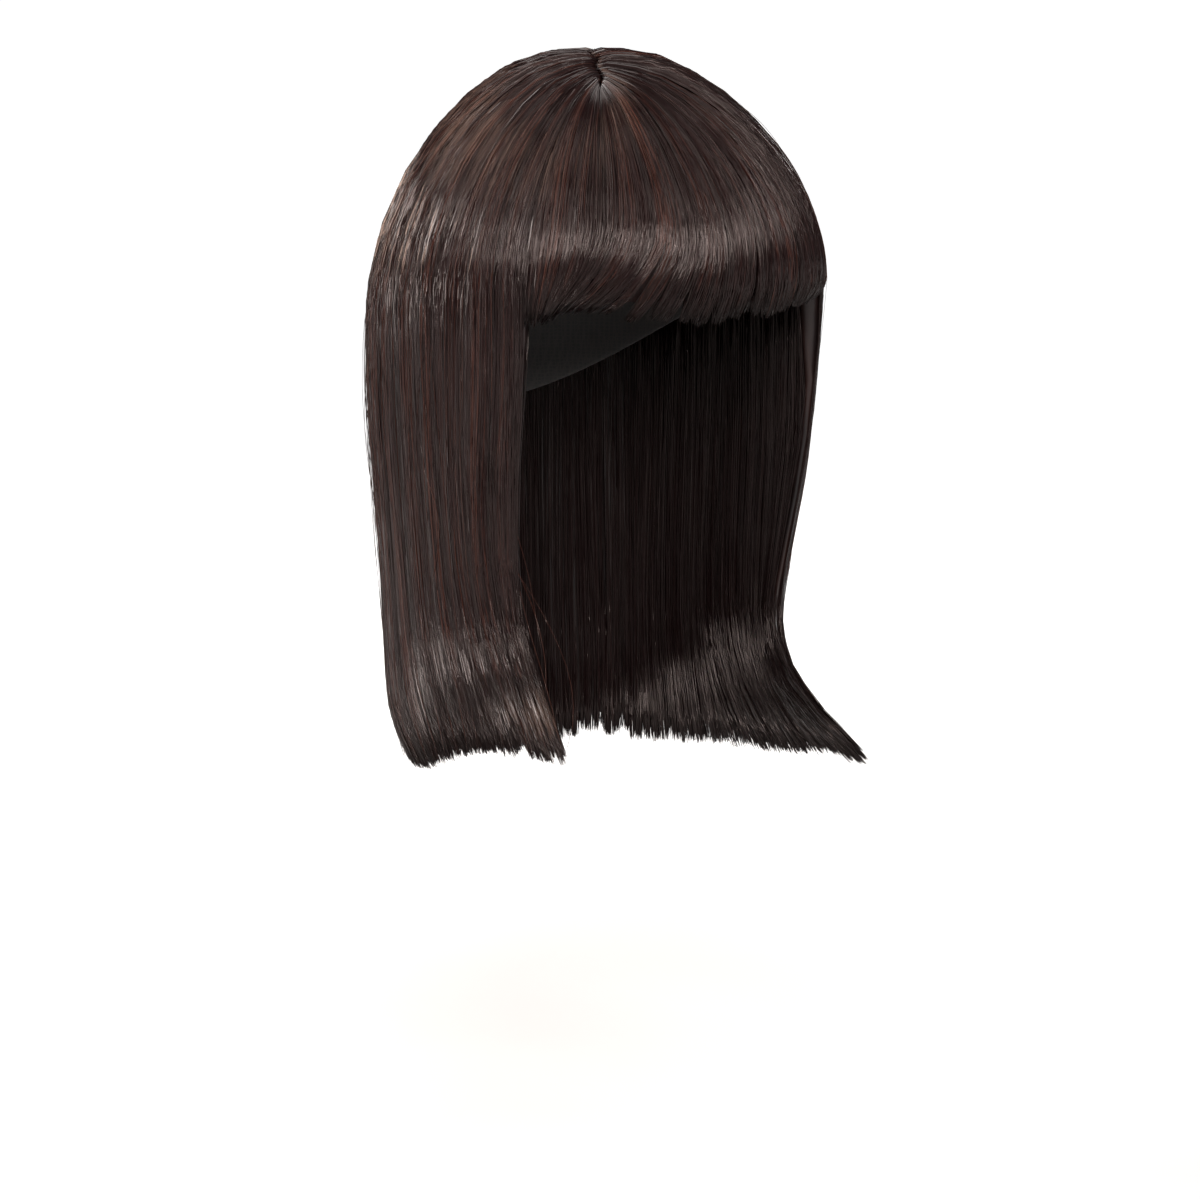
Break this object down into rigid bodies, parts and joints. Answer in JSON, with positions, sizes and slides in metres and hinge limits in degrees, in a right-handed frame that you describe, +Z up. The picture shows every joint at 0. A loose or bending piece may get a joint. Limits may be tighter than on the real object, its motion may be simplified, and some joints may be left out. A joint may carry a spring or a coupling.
{
  "type": "bob wig",
  "caption": "Straight bob wig reaching the shoulders, with a blunt fringe, a short parting at the crown and sides that sweep forward at their ends, on a hollow cap.",
  "frame": {"origin": "the point inside the cap that rests on the top of the wearer's head", "axes": "+Z up along the wearer's head, the wearer faces -Y, +X to the wearer's left"},
  "size_m": [0.176, 0.2085, 0.3023],
  "materials": {
    "cap_net": "matt stretch net",
    "parting_cloth": "matt close cloth",
    "hair_fibre": "satin dark brown hair fibre"
  },
  "bodies": {
    "root": {"cap": "cap_net", "parting_strip": "parting_cloth", "fringe": "hair_fibre", "side_hair_right": "hair_fibre", "side_hair_left": "hair_fibre", "back_hair": "hair_fibre"}
  },
  "joints": []
}
